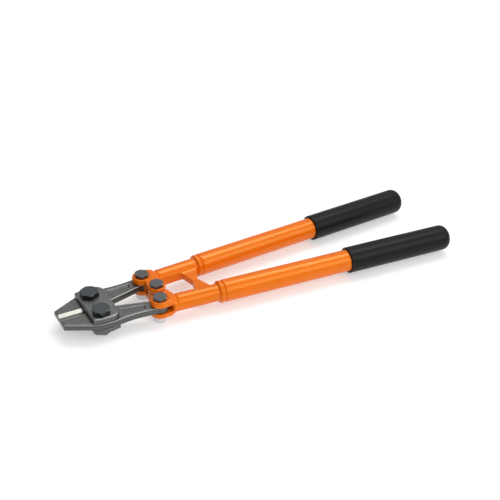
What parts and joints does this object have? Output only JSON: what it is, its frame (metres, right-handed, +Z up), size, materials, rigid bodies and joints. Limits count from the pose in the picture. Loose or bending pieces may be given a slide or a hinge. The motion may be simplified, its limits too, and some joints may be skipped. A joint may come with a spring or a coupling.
{
  "type": "bolt cutter",
  "caption": "Small two-handed bolt cutter: centre-cut jaws between two plates, opened and shut by forged yokes on long tubular handles with black grips.",
  "frame": {"origin": "middle of the bounding box at its underside, which is the level of the nut ends", "axes": "+X from the jaws to the handles, +Y to the right-hand handle, +Z up along the pivots towards the bolt heads"},
  "size_m": [0.43, 0.1176, 0.0304],
  "materials": {
    "jaw_steel": "forged and tumbled, satin",
    "plate_steel": "rolled plate, satin",
    "dark_bolt": "black oxide, satin",
    "grey_bolt": "dark phosphate, satin",
    "zinc_nut": "bright zinc plate",
    "nylon_ring": "plain nylon",
    "orange_paint": "powder coat, half gloss",
    "black_grip": "dipped vinyl, satin"
  },
  "bodies": {
    "head": {"top_plate": "plate_steel", "bottom_plate": "plate_steel", "right_jaw_bolt": "dark_bolt", "left_jaw_bolt": "dark_bolt", "right_jaw_nut": "dark_bolt", "left_jaw_nut": "dark_bolt"},
    "right_jaw": {"right_jaw": "jaw_steel"},
    "left_jaw": {"left_jaw": "jaw_steel"},
    "right_handle": {"right_yoke": "orange_paint", "right_tube": "orange_paint", "right_grip": "black_grip", "right_link_bolt": "grey_bolt", "right_link_nut": "zinc_nut", "right_nut_insert": "nylon_ring", "centre_bolt": "grey_bolt", "centre_nut": "zinc_nut", "centre_nut_insert": "nylon_ring"},
    "left_handle": {"left_yoke": "orange_paint", "left_tube": "orange_paint", "left_grip": "black_grip", "left_link_bolt": "grey_bolt", "left_link_nut": "zinc_nut", "left_nut_insert": "nylon_ring"}
  },
  "joints": [
    {"name": "right_jaw_pivot", "type": "hinge", "parent": "head", "child": "right_jaw", "pos_m": [-0.1775, 0.0157, 0.0166], "axis": [0, 0, 1], "range_deg": [-7.89, 0]},
    {"name": "left_jaw_pivot", "type": "hinge", "parent": "head", "child": "left_jaw", "pos_m": [-0.1775, -0.0157, 0.0166], "axis": [0, 0, 1], "range_deg": [0, 7.89]},
    {"name": "right_handle_link", "type": "hinge", "parent": "right_jaw", "child": "right_handle", "pos_m": [-0.1192, 0.0223, 0.0166], "axis": [0, 0, 1], "range_deg": [0, 46]},
    {"name": "left_handle_link", "type": "hinge", "parent": "left_jaw", "child": "left_handle", "pos_m": [-0.1192, -0.0223, 0.0166], "axis": [0, 0, 1], "range_deg": [-46, 0]}
  ],
  "couplings": [
    {"joint": "right_jaw_pivot", "follows": "right_handle_link", "ratio": -0.1715},
    {"joint": "left_jaw_pivot", "follows": "right_handle_link", "ratio": 0.1715},
    {"joint": "left_handle_link", "follows": "right_handle_link", "ratio": -1}
  ]
}
